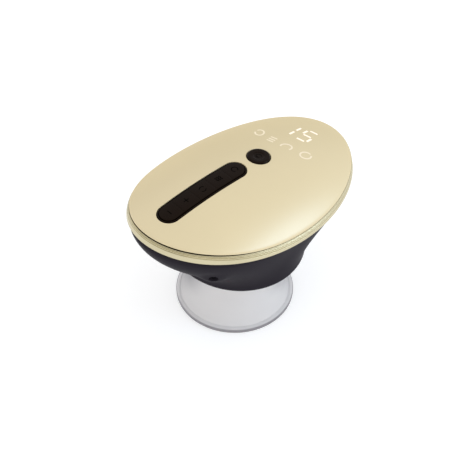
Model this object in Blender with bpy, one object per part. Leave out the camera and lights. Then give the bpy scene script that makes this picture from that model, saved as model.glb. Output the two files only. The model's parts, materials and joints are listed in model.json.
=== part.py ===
"""Hand-held electric suction-cup body massager, modelled as the pieces it comes apart into.

Frame: metres, +Z up. The origin is on the table under the middle of the head's footprint.
+X runs along the head towards the display end, and the cup's mouth rests on z = 0.
All sizes below are in millimetres; MM turns them into metres when a mesh is made.

Two empties carry the pieces. `cup_axis` stands on the cup's axis at table height.
`head_frame` sits on that axis at the rim's height, tipped so that the display end is lower:
its x runs along the head (called s here), its y across (w), its z out of the top cover (h).
"""
import math

import bmesh
import bpy
import numpy as np
from mathutils import Matrix, Vector

MM = 0.001

# Head: an ellipse seen from above, whose rim rises towards both ends.
HALF_LENGTH = 60.0
HALF_WIDTH = 39.3
FULLNESS = 0.016          # how much the sides swell beyond a true ellipse
HEAD_SHIFT = 5.2          # middle of the head ahead of the cup's axis
CUP_X = -5.4              # cup's axis from the origin
RIM_Z = 66.4
TILT = math.radians(5.35)
RIM_RISE = 6.5            # rim ends above the rim's sides
KEY_END_LIFT = 1.0        # how much more the cover's edge rises at the key end

# Top cover: height of the dome over the rim is DOME * (1 - q ** DOME_POWER) ** DOME_EASE.
DOME = 14.8
DOME_POWER = 2.12
DOME_EASE = 0.915
COVER_WALL = 1.8
COVER_EDGE = 0.4

# Trim ring round the rim, as (outwards from the rim, up from the rim, share of the key end's lift).
RING_SECTION = (
    (-2.0, -0.95, 1), (0.25, -0.95, 1), (0.6, -1.9, 1), (0.45, -2.05, 1), (0.68, -2.2, 1),
    (0.75, -2.6, 1), (0.6, -2.75, 1), (0.88, -2.95, 1), (1.2, -4.15, 0), (1.1, -4.5, 0),
    (-1.2, -4.5, 0), (-1.2, -2.0, 0), (-2.0, -2.0, 0),
)

# Lower housing: from the rim it sweeps in to a round neck with a flat foot.
WALL = 2.0
NECK_RADIUS_X = 31.75
NECK_RADIUS_Y = 33.7
NECK_SHIFT = 1.4
FOOT_Z = 32.45
FOOT_ROUND = 2.9
FOOT_HOLE = 24.7
HULL_START_OUT = 0.37     # where the hull's curve leaves the ring's underside
HULL_START_H = -4.35
HULL_TOP_H = -4.8         # its real top edge, a gap below the ring
LEDGE_OUT = -6.0          # inner edge of the ledge that the frame sits on
LEDGE_BOTTOM_H = -7.0
SCREW_OUT = -4.0          # the frame screws' circle, in from the rim
GAP = 0.3

# Controls, along the head's middle line.
STRIP_START = -40.5       # centres of the key strip's round ends
STRIP_END = -1.45
STRIP_RADIUS = 5.8
KEY_COUNT = 5
KEY_PITCH = (STRIP_END - STRIP_START) / (KEY_COUNT - 1)
BEZEL_OUTER = STRIP_RADIUS - GAP
BEZEL_INNER = 4.8
KEY_RADIUS = BEZEL_INNER - GAP
KEY_GAP = 0.36
KEY_PROUD = 0.25
KEY_TRAVEL = 0.4
POWER_S = 13.8
POWER_HOLE = 5.8
POWER_RADIUS = 5.5
SWITCH_TOP = 7.6
STEM_BOTTOM = SWITCH_TOP + KEY_TRAVEL + 0.08
STEM_RADIUS = 1.5

# Electronics, as heights in the head frame.
DECK_BOTTOM, DECK_TOP = 2.0, 3.4
BOARD_BOTTOM, BOARD_TOP = 4.6, 5.8
BOARD_CENTRE, BOARD_HALF_LENGTH, BOARD_HALF_WIDTH = 4.0, 49.0, 20.0
DIGITS_AT = (44.8, -0.2)
DIGITS_TURN = math.radians(-16)
BOARD_POSTS = ((-28, 10), (-28, -10), (30, 0))
LEAD_SLOT = (-22, 16)
MODE_LIGHTS = ((28.7, 14.8), (28.3, 5.4), (29.8, -2.5), (33.6, -11.4))

# Air pump, lying along X over the cup.
PUMP_Z = 54.0
MOTOR_RADIUS = 10.5
PUMP_RADIUS = 11.0
MOTOR_FACE = -1.0         # the motor's shaft comes out here, towards -X
MOTOR_END = 24.0
CRANK_OFFSET = 1.4

# Cup and its seat, all turned about the cup's axis.
CUP_MOUTH = 29.25
CUP_NECK_OUTER = 19.6
CUP_NECK_INNER = 17.8
CUP_TOP = 38.6
SEAT_TOP = 40.8
LUG_ANGLES = tuple(math.radians(a) for a in (92, 212, 332))
LUG_TWIST = math.radians(30)   # the collar turns this far from locked to free
NIPPLE_AT = (-3.0, -11.6)
SEAT_SCREW_RADIUS = 26.5
TEE_AT = (-3.0, -24.0, 52.0)
VALVE_AT = (17.0, -23.6)
VALVE_BASE = 49.3
BATTERY_AT = (-25.0, 21.0, 57.0)
BATTERY_RADIUS, BATTERY_LENGTH = 7.0, 50.0

# Charging jack, in a boss low on the side of the head.
JACK_FACE = (-36.1, -24.3, 54.7)
JACK_AXIS = (-0.65, -0.69, -0.30)
JACK_HOLE = 2.15

ROUND = 48                # facets round the head and the cup


# ---------------------------------------------------------------- scene and materials

def clear_scene():
    for obj in list(bpy.data.objects):
        bpy.data.objects.remove(obj, do_unlink=True)


def material(name, color, roughness, metallic=0.0):
    """One Principled material, made once for each name."""
    found = bpy.data.materials.get(name)
    if found:
        return found
    made = bpy.data.materials.new(name)
    made.use_nodes = True
    shader = made.node_tree.nodes["Principled BSDF"]
    shader.inputs["Base Color"].default_value = (*color, 1.0)
    shader.inputs["Roughness"].default_value = roughness
    shader.inputs["Metallic"].default_value = metallic
    return made


def gold():
    return material("gold_plating", (0.72, 0.60, 0.36), 0.25, 1.0)


def charcoal():
    return material("charcoal_soft_touch", (0.045, 0.04, 0.048), 0.45)


def black_gloss():
    return material("black_gloss", (0.02, 0.015, 0.017), 0.2)


def black_plastic():
    return material("black_plastic", (0.03, 0.03, 0.03), 0.5)


def white_plastic():
    return material("white_plastic", (0.8, 0.8, 0.78), 0.4)


def board_green():
    return material("circuit_board", (0.02, 0.16, 0.07), 0.4)


def steel():
    return material("steel", (0.6, 0.6, 0.62), 0.3, 1.0)


def copper():
    return material("copper_winding", (0.72, 0.33, 0.16), 0.35, 1.0)


def silicone():
    return material("silicone", (0.75, 0.75, 0.73), 0.5)


def frosted():
    return material("frosted_cup", (0.8, 0.8, 0.8), 0.4)


def lamp():
    return material("lamp_lens", (0.85, 0.25, 0.2), 0.3)


def display_white():
    return material("display_segments", (0.95, 0.9, 0.8), 0.4)


def battery_wrap():
    return material("battery_wrap", (0.05, 0.2, 0.45), 0.35)


# ---------------------------------------------------------------- mesh helpers

def add_object(name, verts, faces, finish, parent, at=(0, 0, 0), turn=None):
    """A mesh object from points in millimetres, with its normals out and its origin at `at`."""
    mesh = bpy.data.meshes.new(name)
    mesh.from_pydata([Vector(v) * MM for v in verts], [], faces)
    bm = bmesh.new()
    bm.from_mesh(mesh)
    bmesh.ops.recalc_face_normals(bm, faces=bm.faces)
    bm.to_mesh(mesh)
    bm.free()
    mesh.shade_smooth()
    mesh.set_sharp_from_angle(angle=math.radians(35))
    mesh.materials.append(finish)
    obj = bpy.data.objects.new(name, mesh)
    bpy.context.scene.collection.objects.link(obj)
    obj.parent = parent
    obj.location = Vector(at) * MM
    if turn is not None:
        obj.rotation_euler = turn
    return obj


def capped(name, rows, finish, parent, at=(0, 0, 0), turn=None):
    """A solid skinned over rows of points. The first and last rows are single points."""
    verts = [rows[0]]
    starts = []
    for row in rows[1:-1]:
        starts.append(len(verts))
        verts.extend(row)
    last = len(verts)
    verts.append(rows[-1])
    count = len(rows[1])
    faces = []
    for j in range(count):
        k = (j + 1) % count
        faces.append((0, starts[0] + j, starts[0] + k))
        faces.append((last, starts[-1] + k, starts[-1] + j))
        for a, b in zip(starts, starts[1:]):
            faces.append((a + j, b + j, b + k, a + k))
    return add_object(name, verts, faces, finish, parent, at, turn)


def looped(name, sections, finish, parent, at=(0, 0, 0)):
    """A ring-shaped solid: closed sections of equal length, joined all the way round."""
    count = len(sections[0])
    verts = [p for section in sections for p in section]
    faces = []
    for i in range(len(sections)):
        a, b = i * count, (i + 1) % len(sections) * count
        for j in range(count):
            k = (j + 1) % count
            faces.append((a + j, a + k, b + k, b + j))
    return add_object(name, verts, faces, finish, parent, at)


def circle(radius, height, count=20):
    return [
        (radius * math.cos(a), radius * math.sin(a), height)
        for a in np.linspace(0, 2 * math.pi, count, endpoint=False)
    ]


def turned(name, profile, finish, parent, at=(0, 0, 0), axis=(0, 0, 1), count=20):
    """A turned solid from (radius, height) points; it is a ring unless it starts and ends at radius 0."""
    turn = Vector((0, 0, 1)).rotation_difference(Vector(axis)).to_euler()
    if profile[0][0] == 0:
        rows = [(0, 0, profile[0][1])]
        rows += [circle(r, z, count) for r, z in profile[1:-1]]
        rows += [(0, 0, profile[-1][1])]
        return capped(name, rows, finish, parent, at, turn)
    rings = [circle(r, z, count) for r, z in profile]
    sections = [[ring[j] for ring in rings] for j in range(count)]
    obj = looped(name, sections, finish, parent, at)
    obj.rotation_euler = turn
    return obj


def disc(name, radius, low, high, finish, parent, at=(0, 0, 0), axis=(0, 0, 1), count=20):
    profile = [(0, high), (radius, high), (radius, low), (0, low)]
    return turned(name, profile, finish, parent, at, axis, count)


def box(name, low, high, finish, parent, at=(0, 0, 0), turn=None):
    corners = [(x, y, z) for x in (low[0], high[0]) for y in (low[1], high[1]) for z in (low[2], high[2])]
    faces = [(0, 1, 3, 2), (4, 6, 7, 5), (0, 4, 5, 1), (2, 3, 7, 6), (0, 2, 6, 4), (1, 5, 7, 3)]
    return add_object(name, corners, faces, finish, parent, at, turn)


def tube(name, points, radius, finish, parent):
    """A round hose or lead along a list of points, each a smooth curve's sample."""
    curve = bpy.data.curves.new(name, "CURVE")
    curve.dimensions = "3D"
    curve.bevel_depth = radius * MM
    curve.bevel_resolution = 2
    curve.use_fill_caps = True
    spline = curve.splines.new("POLY")
    spline.points.add(len(points) - 1)
    for spot, point in zip(spline.points, points):
        spot.co = (*(Vector(point) * MM), 1.0)
    curve.materials.append(finish)
    obj = bpy.data.objects.new(name, curve)
    bpy.context.scene.collection.objects.link(obj)
    obj.parent = parent
    return obj


def bent(start, start_pull, end_pull, end, count=11):
    """Points of a cubic curve from start to end; each pull is the curve's handle."""
    a, b, c, d = (np.array(p, float) for p in (start, start_pull, end_pull, end))
    return [
        tuple((1 - v) ** 3 * a + 3 * (1 - v) ** 2 * v * b + 3 * (1 - v) * v * v * c + v ** 3 * d)
        for v in np.linspace(0, 1, count)
    ]


def combine(obj, tool, operation):
    """Cuts `tool` from `obj`, or joins it on; the tool stays as a hidden guide."""
    tool.hide_render = True
    tool.display_type = "WIRE"
    modifier = obj.modifiers.new(tool.name, "BOOLEAN")
    modifier.operation = operation
    modifier.object = tool
    return obj


def gather(name, tools):
    """One guide object made of several, at their places."""
    bpy.context.view_layer.update()
    bm = bmesh.new()
    for tool in tools:
        tool.data.transform(tool.matrix_world)
        bm.from_mesh(tool.data)
        bpy.data.objects.remove(tool, do_unlink=True)
    mesh = bpy.data.meshes.new(name)
    bm.to_mesh(mesh)
    bm.free()
    guide = bpy.data.objects.new(name, mesh)
    bpy.context.scene.collection.objects.link(guide)
    return guide


def cut(obj, *tools):
    return combine(obj, gather(f"{obj.name}_cutters", tools), "DIFFERENCE")


def join(obj, *tools):
    return combine(obj, gather(f"{obj.name}_joined", tools), "UNION")


# ---------------------------------------------------------------- head geometry

def outline(t, out=0.0):
    """Point (s, w) of the rim at angle t, moved outwards."""
    swell = 1 + FULLNESS * math.cos(2 * t)
    s = HEAD_SHIFT + HALF_LENGTH * math.cos(t)
    w = HALF_WIDTH * swell * math.sin(t)
    ds = -HALF_LENGTH * math.sin(t)
    dw = HALF_WIDTH * (swell * math.cos(t) - 2 * FULLNESS * math.sin(2 * t) * math.sin(t))
    size = math.hypot(ds, dw)
    return s + out * dw / size, w - out * ds / size


def rise(s):
    return RIM_RISE * ((s - HEAD_SHIFT) / HALF_LENGTH) ** 2


def lift(s):
    """How much higher the cover's edge stands towards the key end than the rim does."""
    f = min(max((-0.2 - (s - HEAD_SHIFT) / HALF_LENGTH) / 0.7, 0), 1)
    return KEY_END_LIFT * f * f * (3 - 2 * f)


def rim_point(t, out, up, share=0):
    """Head-frame point beside the rim, with its share of the key end's lift."""
    s, w = outline(t, out)
    return s, w, up + rise(s) + share * lift(s)


def dome(q):
    return DOME * max(1 - q ** DOME_POWER, 0) ** DOME_EASE


def cover_point(t, q, sink=0.0):
    """Head-frame point of the cover's outer surface, at the fraction q from its middle to the rim."""
    s, w = outline(t)
    s, w = HEAD_SHIFT + q * (s - HEAD_SHIFT), q * w
    return s, w, dome(q) + rise(s) + lift(s) * q ** 8 - sink


def cover_height(s, w):
    """Height of the cover's outer surface over any point of the head."""
    u = (s - HEAD_SHIFT) / HALF_LENGTH
    swell = 1.0
    for _ in range(4):
        t = math.atan2(w / (HALF_WIDTH * swell), u)
        swell = 1 + FULLNESS * math.cos(2 * t)
    q = math.hypot(u, w / (HALF_WIDTH * swell))
    return dome(q) + rise(s) + lift(s) * q ** 8


def angles(count=ROUND):
    return np.linspace(0, 2 * math.pi, count, endpoint=False)


def head_to_cup(point):
    """The same place in the cup's frame."""
    return Matrix.Rotation(TILT, 3, "Y") @ Vector(point) + Vector((0, 0, RIM_Z))


def cup_to_head(point):
    return Matrix.Rotation(-TILT, 3, "Y") @ (Vector(point) - Vector((0, 0, RIM_Z)))


def hull_point(t, v):
    """Cup-frame point of the housing's outer sweep; v runs from the rim, 0, to the neck's foot, 1."""
    c = math.cos(t)
    top = head_to_cup(rim_point(t, HULL_START_OUT, HULL_START_H))
    foot = Vector((NECK_SHIFT + NECK_RADIUS_X * c, NECK_RADIUS_Y * math.sin(t), FOOT_Z + FOOT_ROUND))
    inwards = foot - top
    inwards.z = 0
    inwards.normalize()
    lean = 0.256 + 0.256 * c - 0.08 * math.cos(2 * t)
    flare = 8.9 - 8.2 * c - 0.14 * math.cos(2 * t)
    splay = 0.054
    throat = 9.4 - 0.9 * c + 0.35 * math.cos(2 * t)
    down = Vector((0, 0, -1))
    pull = top + (inwards * math.sin(lean) + down * math.cos(lean)) * flare
    push = foot - (inwards * math.sin(splay) + down * math.cos(splay)) * throat
    return (
        top * (1 - v) ** 3 + pull * 3 * (1 - v) ** 2 * v
        + push * 3 * (1 - v) * v * v + foot * v ** 3
    )


def hull_inside(t, v):
    """The housing's inner surface: the outer one moved in by the wall."""
    step = 0.002
    along = hull_point(t, min(v + step, 1)) - hull_point(t, max(v - step, 0))
    around = hull_point(t + step, v) - hull_point(t - step, v)
    outwards = along.cross(around).normalized()
    if outwards.dot(hull_point(t, v) - Vector((0, 0, RIM_Z))) < 0:
        outwards = -outwards
    return hull_point(t, v) - outwards * WALL


def height_over_rim(point):
    s, _, h = cup_to_head(point)
    return h - rise(s)


def sweep_place(surface, t, level):
    """The v at which a sweep from the rim to the foot passes a height over the rim."""
    low, high = 0.0, 1.0
    for _ in range(30):
        middle = (low + high) / 2
        if height_over_rim(surface(t, middle)) > level:
            low = middle
        else:
            high = middle
    return low


# ---------------------------------------------------------------- casing

def strip_outline(radius, count=8):
    """Outline of the key strip: two half circles and straight sides."""
    points = []
    for centre, start in ((STRIP_END, -math.pi / 2), (STRIP_START, math.pi / 2)):
        for a in np.linspace(start, start + math.pi, count + 1):
            points.append((centre + radius * math.cos(a), radius * math.sin(a)))
        side = radius if centre == STRIP_END else -radius
        far = STRIP_START if centre == STRIP_END else STRIP_END
        for f in np.linspace(0, 1, 6)[1:-1]:
            points.append((centre + f * (far - centre), side))
    return points


def standing_prism(name, points, low, high, parent):
    """An upright cutter over a flat outline."""
    middle = np.mean(points, axis=0)
    rows = [(*middle, high)]
    rows += [[(s, w, h) for s, w in points] for h in (high, low)]
    rows += [(*middle, low)]
    return capped(name, rows, black_plastic(), parent)


def top_cover(head):
    outer = (0.2, 0.4, 0.58, 0.73, 0.85, 0.93, 0.98, 1.0)
    inner = (0.945, 0.88, 0.75, 0.55, 0.3)
    rows = [(HEAD_SHIFT, 0, DOME)]
    rows += [[cover_point(t, q) for t in angles()] for q in outer]
    rows += [[rim_point(t, 0, -COVER_EDGE, 1) for t in angles()]]
    rows += [[rim_point(t, -2.0, -COVER_EDGE, 1) for t in angles()]]
    rows += [[cover_point(t, q, COVER_WALL) for t in angles()] for q in inner]
    rows += [(HEAD_SHIFT, 0, DOME - COVER_WALL)]
    cover = capped("top_cover", rows, gold(), head)
    hole = [(POWER_S + x, y) for x, y, _ in circle(POWER_HOLE, 0, 28)]
    return cut(cover, standing_prism("strip_cutter", strip_outline(STRIP_RADIUS), 5.5, 18, head),
               standing_prism("power_cutter", hole, 9, 18, head))


def trim_ring(head):
    sections = [[rim_point(t, *place) for place in RING_SECTION] for t in angles()]
    return looped("trim_ring", sections, gold(), head)


def inner_frame(head):
    """The tray under the cover: a deck for the board, and a flange held between ring and housing."""
    def deck(q, h):
        rim = [outline(t) for t in angles()]
        return [(HEAD_SHIFT + q * (s - HEAD_SHIFT), q * w, h) for s, w in rim]

    rows = [(HEAD_SHIFT, 0, DECK_TOP), deck(0.4, DECK_TOP), deck(0.78, DECK_TOP)]
    rows += [[rim_point(t, out, up) for t in angles()] for out, up in
             ((-6.2, -2.4), (-1.6, -2.4), (-1.6, -4.5), (-7.4, -4.5))]
    rows += [deck(0.74, DECK_BOTTOM), (HEAD_SHIFT, 0, DECK_BOTTOM)]
    frame = capped("inner_frame", rows, black_plastic(), head)
    join(frame, *[disc("post", 2.0, DECK_BOTTOM + 0.5, BOARD_BOTTOM - GAP, black_plastic(), head, (s, w, 0),
                       count=13) for s, w in BOARD_POSTS])
    holes = [disc("hole", 1.2, -6, 0, black_plastic(), head, rim_point(t, SCREW_OUT, 0), count=11)
             for t in screw_angles()]
    slot = disc("lead_slot", 3.0, 0, 6, black_plastic(), head, (*LEAD_SLOT, 0), count=13)
    return cut(frame, slot, *holes)


def screw_angles():
    spread = math.radians(65)
    return (spread, math.pi - spread, math.pi + spread, -spread)


def lower_housing(cup, head):
    """Dark shell from the rim down to the neck, with a ledge inside its top edge."""
    def section(t):
        top = sweep_place(hull_point, t, HULL_TOP_H)
        points = [hull_point(t, v) for v in np.linspace(top, 1, 8)]
        foot = points[-1]
        out = Vector((foot.x - NECK_SHIFT, foot.y, 0)).normalized()
        for a in (30, 60, 90):
            turn = math.radians(a)
            points.append(foot - out * FOOT_ROUND * (1 - math.cos(turn))
                          - Vector((0, 0, FOOT_ROUND * math.sin(turn))))
        hole = Vector((FOOT_HOLE * math.cos(t), FOOT_HOLE * math.sin(t), FOOT_Z))
        points += [hole, hole + Vector((0, 0, WALL))]
        inner = hull_inside(t, 1)
        points.append(Vector((inner.x, inner.y, FOOT_Z + WALL)))
        under_ledge = sweep_place(hull_inside, t, LEDGE_BOTTOM_H)
        points += [hull_inside(t, v) for v in np.linspace(1, under_ledge, 6)[1:]]
        points += [head_to_cup(rim_point(t, LEDGE_OUT, up)) for up in (LEDGE_BOTTOM_H, HULL_TOP_H)]
        return points

    housing = looped("lower_housing", [section(t) for t in angles()], charcoal(), cup)
    join(housing, disc("jack_boss", 3.1, -6.5, 0, charcoal(), cup, JACK_FACE, JACK_AXIS, 20))
    bore = [(0, 1), (JACK_HOLE, 1), (JACK_HOLE, -1.6), (2.75, -1.6), (2.75, -8), (0, -8)]
    holes = [disc("ledge_hole", 1.2, -8.4, -4, charcoal(), head, rim_point(t, SCREW_OUT, 0), count=11)
             for t in screw_angles()]
    holes += [disc("foot_hole", 1.0, FOOT_Z + 0.6, 36, charcoal(), cup, at, count=11) for at in seat_screws()]
    return cut(housing, turned("jack_bore", bore, charcoal(), cup, JACK_FACE, JACK_AXIS, 18), *holes)


# ---------------------------------------------------------------- keys and electronics

def keypad_bezel(head):
    outer, inner = strip_outline(BEZEL_OUTER), strip_outline(BEZEL_INNER)
    sections = []
    for (s1, w1), (s2, w2) in zip(outer, inner):
        sections.append([
            (s1, w1, cover_height(s1, w1)), (s1, w1, cover_height(s1, w1) - 2.4),
            (s2, w2, cover_height(s2, w2) - 2.4), (s2, w2, cover_height(s2, w2) + 0.05),
        ])
    return looped("keypad_bezel", sections, black_gloss(), head)


def key_centre(number):
    return STRIP_START + (number - 1) * KEY_PITCH


def key_outline(number):
    """Outline about the key's centre: a straight-sided key, round where it ends the strip."""
    reach = (KEY_PITCH - KEY_GAP) / 2
    points = []
    for side in (1, -1):
        if number == (KEY_COUNT if side == 1 else 1):
            arc = np.linspace(-math.pi / 2, math.pi / 2, 9) * side
            points += [(side * KEY_RADIUS * math.cos(a), KEY_RADIUS * math.sin(a)) for a in arc]
        else:
            points += [(side * reach, side * w * KEY_RADIUS) for w in np.linspace(-1, 1, 5)]
    return points


def pressed_part(name, centre, outline_points, proud, rounding, head):
    """A key cap that follows the cover's surface, on a stem that reaches towards its switch."""
    at_centre = cover_height(centre, 0)
    floor = at_centre - 2.5
    count = len(outline_points)

    def top(shrink, lift):
        row = []
        for s, w in outline_points:
            s, w = s * shrink, w * shrink
            row.append((s, w, cover_height(centre + s, w) + lift))
        return row

    stem = circle(STEM_RADIUS, 0, count)
    start = math.atan2(outline_points[0][1], outline_points[0][0])
    turn = Matrix.Rotation(start, 3, "Z")
    stem = [turn @ Vector(p) for p in stem]
    shrink = 1 - rounding / max(abs(s) for s, _ in outline_points)
    rows = [(0, 0, at_centre + proud)]
    rows += [top(0.5, proud), top(shrink, proud), top(1, proud - rounding)]
    rows += [[(s, w, floor) for s, w in outline_points]]
    if floor - STEM_BOTTOM > 0.3:
        rows += [[(x, y, h) for x, y, _ in stem] for h in (floor, STEM_BOTTOM)]
        rows += [(0, 0, STEM_BOTTOM)]
    else:
        rows += [(0, 0, floor)]
    return capped(name, rows, black_gloss(), head, (centre, 0, 0))


def keys(head):
    for number in range(1, KEY_COUNT + 1):
        pressed_part(f"key_{number}", key_centre(number), key_outline(number), KEY_PROUD, 0.25, head)


def power_button(head):
    """Round cap: bevelled edge, raised rim and a shallow dish with a ring round its middle."""
    base = cover_height(POWER_S, 0)
    floor = base - 2.5
    profile = [
        (0, base + 0.2), (2.2, base + 0.25), (2.6, base + 0.4), (4.3, base + 0.55),
        (4.9, base + 0.5), (POWER_RADIUS, base - 0.1), (POWER_RADIUS, floor),
        (STEM_RADIUS, floor), (STEM_RADIUS, STEM_BOTTOM), (0, STEM_BOTTOM),
    ]
    return turned("power_button", profile, black_gloss(), head, (POWER_S, 0, 0), count=24)


def push_switches(head):
    places = {f"key_switch_{n}": key_centre(n) for n in range(1, KEY_COUNT + 1)}
    places["power_switch"] = POWER_S
    base = BOARD_TOP + GAP
    for name, s in places.items():
        profile = [(0, SWITCH_TOP), (1.0, SWITCH_TOP), (1.0, SWITCH_TOP - 0.5),
                   (2.4, SWITCH_TOP - 0.5), (2.4, base), (0, base)]
        turned(name, profile, steel(), head, (s, 0, 0), count=12)


def ellipse(half_length, half_width, height, count=32):
    return [(half_length * math.cos(a), half_width * math.sin(a), height) for a in angles(count)]


def electronics(head):
    """Control board with the digit module and four mode lights, and the diffuser over them."""
    rows = [(0, 0, BOARD_TOP)]
    rows += [ellipse(BOARD_HALF_LENGTH, BOARD_HALF_WIDTH, h) for h in (BOARD_TOP, BOARD_BOTTOM)]
    rows += [(0, 0, BOARD_BOTTOM)]
    capped("control_board", rows, board_green(), head, (BOARD_CENTRE, 0, 0))
    base = BOARD_TOP + GAP
    # The digit module, whose reading direction is turned a little.
    box("digit_display", (-5.5, -6.0, base), (3.0, 6.0, 7.6), white_plastic(), head,
        (*DIGITS_AT, 0), (0, 0, DIGITS_TURN))
    for i, (s, w) in enumerate(MODE_LIGHTS, 1):
        box(f"mode_led_{i}", (-1.0, -0.6, base), (1.0, 0.6, base + 0.9), display_white(), head, (s, w, 0))
    middle, reach_s, reach_w = (38.0, 1.0), 14.0, 17.0
    rows = []
    for sink, shrinks in ((COVER_WALL + GAP, (0, 0.5, 1)), (COVER_WALL + 1.2, (1, 0.5, 0))):
        for shrink in shrinks:
            spots = [(middle[0] + shrink * reach_s * math.cos(a), middle[1] + shrink * reach_w * math.sin(a))
                     for a in angles(24)]
            row = [(s, w, cover_height(s, w) - sink) for s, w in spots]
            rows.append(row if shrink else row[0])
    capped("display_diffuser", rows, white_plastic(), head)


def screw(name, at, parent, head_radius, shaft_radius, length):
    """A pan-head screw whose seat, under the head, is at height 0."""
    profile = [(0, 0.8), (head_radius * 0.8, 1.0), (head_radius, 0.6), (head_radius, 0),
               (shaft_radius, 0), (shaft_radius, -length + 0.6), (0, -length)]
    return turned(name, profile, steel(), parent, at, count=12)


def frame_screws(head):
    for i, t in enumerate(screw_angles(), 1):
        screw(f"frame_screw_{i}", rim_point(t, SCREW_OUT, -2.4 + GAP), head, 1.5, 0.8, 5.6)


def power_pieces(cup, head):
    """Charging jack with its centre pin, the battery cell and the lead up to the board."""
    profile = [(0, -1.9), (0.4, -1.9), (0.4, -7.0), (1.3, -7.0), (1.3, -1.9), (2.4, -1.9), (2.4, -8.6), (0, -8.6)]
    turned("charging_jack", profile, steel(), cup, JACK_FACE, JACK_AXIS, 16)
    cell = [(0, BATTERY_LENGTH), (2.5, BATTERY_LENGTH), (2.5, BATTERY_LENGTH - 0.8),
            (BATTERY_RADIUS, BATTERY_LENGTH - 0.8), (BATTERY_RADIUS, 0), (0, 0)]
    turned("battery_cell", cell, battery_wrap(), cup, BATTERY_AT, (1, 0, 0), 24)
    top = head_to_cup((*LEAD_SLOT, BOARD_BOTTOM - 2 * GAP))
    start = Vector(BATTERY_AT) + Vector((-1.6, 0, 0))
    route = bent(start, start + Vector((-9, 0, 0)), top - Vector((5, 2, 9)), top)
    tube("battery_lead", route, 0.9, material("lead_red", (0.5, 0.04, 0.03), 0.4), cup)


# ---------------------------------------------------------------- air pump and valve

def pump(cup):
    """Motor, crank, rocker plate, diaphragm and valve cover, all along one axis towards -X."""
    at, axis = (0, 0, PUMP_Z), (-1, 0, 0)
    face, end = -MOTOR_FACE, -MOTOR_END
    can = [(1.4, face), (3.2, face), (3.2, face - 0.8), (MOTOR_RADIUS - 1, face - 0.8),
           (MOTOR_RADIUS, face - 1.8), (MOTOR_RADIUS, end), (3, end), (3, end + 0.8), (1.4, end + 0.8)]
    turned("pump_motor", can, steel(), cup, at, axis, 24)
    turned("motor_shaft", [(0, 10.9), (1.0, 10.9), (1.0, -21.5), (0, -21.5)], steel(), cup, at, axis, 12)
    crank = [(1.3, 8.4), (4.6, 8.4), (4.6, 11.6), (1.3, 11.6)]
    eccentric = turned("eccentric", crank, white_plastic(), cup, at, axis, 16)
    pin = disc("crank_pin", 1.1, 11.2, 15.4, steel(), cup, (0, 0, PUMP_Z + CRANK_OFFSET), axis, 12)
    join(eccentric, pin)
    case = [(1.6, 1.4), (PUMP_RADIUS, 1.4), (PUMP_RADIUS, 18.6), (9.6, 18.6), (9.6, 3.2), (1.6, 3.2)]
    turned("pump_housing", case, black_plastic(), cup, at, axis, 24)
    rocker = [(3.2, 14.2), (8.4, 14.2), (8.4, 15.6), (3.2, 15.6)]
    turned("rocker_plate", rocker, white_plastic(), cup, at, axis, 20)
    membrane = [(0, 17.4), (6, 17.4), (7.4, 16.9), (9.2, 17.9), (9.2, 17.3), (7.4, 16.3), (6, 16.8), (0, 16.8)]
    turned("pump_diaphragm", membrane, silicone(), cup, at, axis, 20)
    lid = [(0, 24.5), (7.5, 24.5), (PUMP_RADIUS, 22.5), (PUMP_RADIUS, 18.9), (8.6, 18.9), (8.6, 19.6), (0, 19.6)]
    cover = turned("pump_cover", lid, black_plastic(), cup, at, axis, 24)
    barb = disc("pump_barb", 1.5, 9, 15.2, black_plastic(), cup, (-21, 0, PUMP_Z), (0, -1, 0), 12)
    join(cover, barb)
    band = [(MOTOR_RADIUS + 0.35, 0), (MOTOR_RADIUS + 1.4, 0), (MOTOR_RADIUS + 1.4, -8), (MOTOR_RADIUS + 0.35, -8)]
    bracket = turned("pump_bracket", band, steel(), cup, (7, 0, PUMP_Z), axis, 24)
    foot = box("bracket_foot", (7, -7, PUMP_Z + 11.0), (15, 7, PUMP_Z + 12.6), steel(), cup)
    join(bracket, foot)


def valve(cup):
    """Release valve: its plunger lifts inside the coil against a spring to let air back in."""
    at = (*VALVE_AT, VALVE_BASE)
    base = box("valve_base", (-6, -5.5, 0), (6, 5.5, 3.0), black_plastic(), cup, at)
    barb_at = (VALVE_AT[0], VALVE_AT[1], TEE_AT[2])
    join(base, disc("barb", 1.5, 5, 10.5, black_plastic(), cup, barb_at, (-1, 0, 0), 12),
         box("back", (-4, 4.3, 2), (4, 5.8, 14.9), black_plastic(), cup, at))
    join(base, box("bridge", (-5, -4.0, 14.2), (5, 5.0, 15.2), black_plastic(), cup, at))
    turned("valve_coil", [(2.4, 3.4), (3.9, 3.4), (3.9, 10.4), (2.4, 10.4)], copper(), cup, at, count=16)
    disc("valve_plunger", 1.9, 3.4, 10.8, steel(), cup, at, count=12)
    turns, low, high, sides = 4, 11.3, 13.8, 8
    helix = [
        (at[0] + 1.4 * math.cos(2 * math.pi * i / sides), at[1] + 1.4 * math.sin(2 * math.pi * i / sides),
         at[2] + low + (high - low) * i / (turns * sides))
        for i in range(turns * sides + 1)
    ]
    spring = tube("valve_spring", helix, 0.2, steel(), cup)
    spring.data.bevel_resolution = 1


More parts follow.
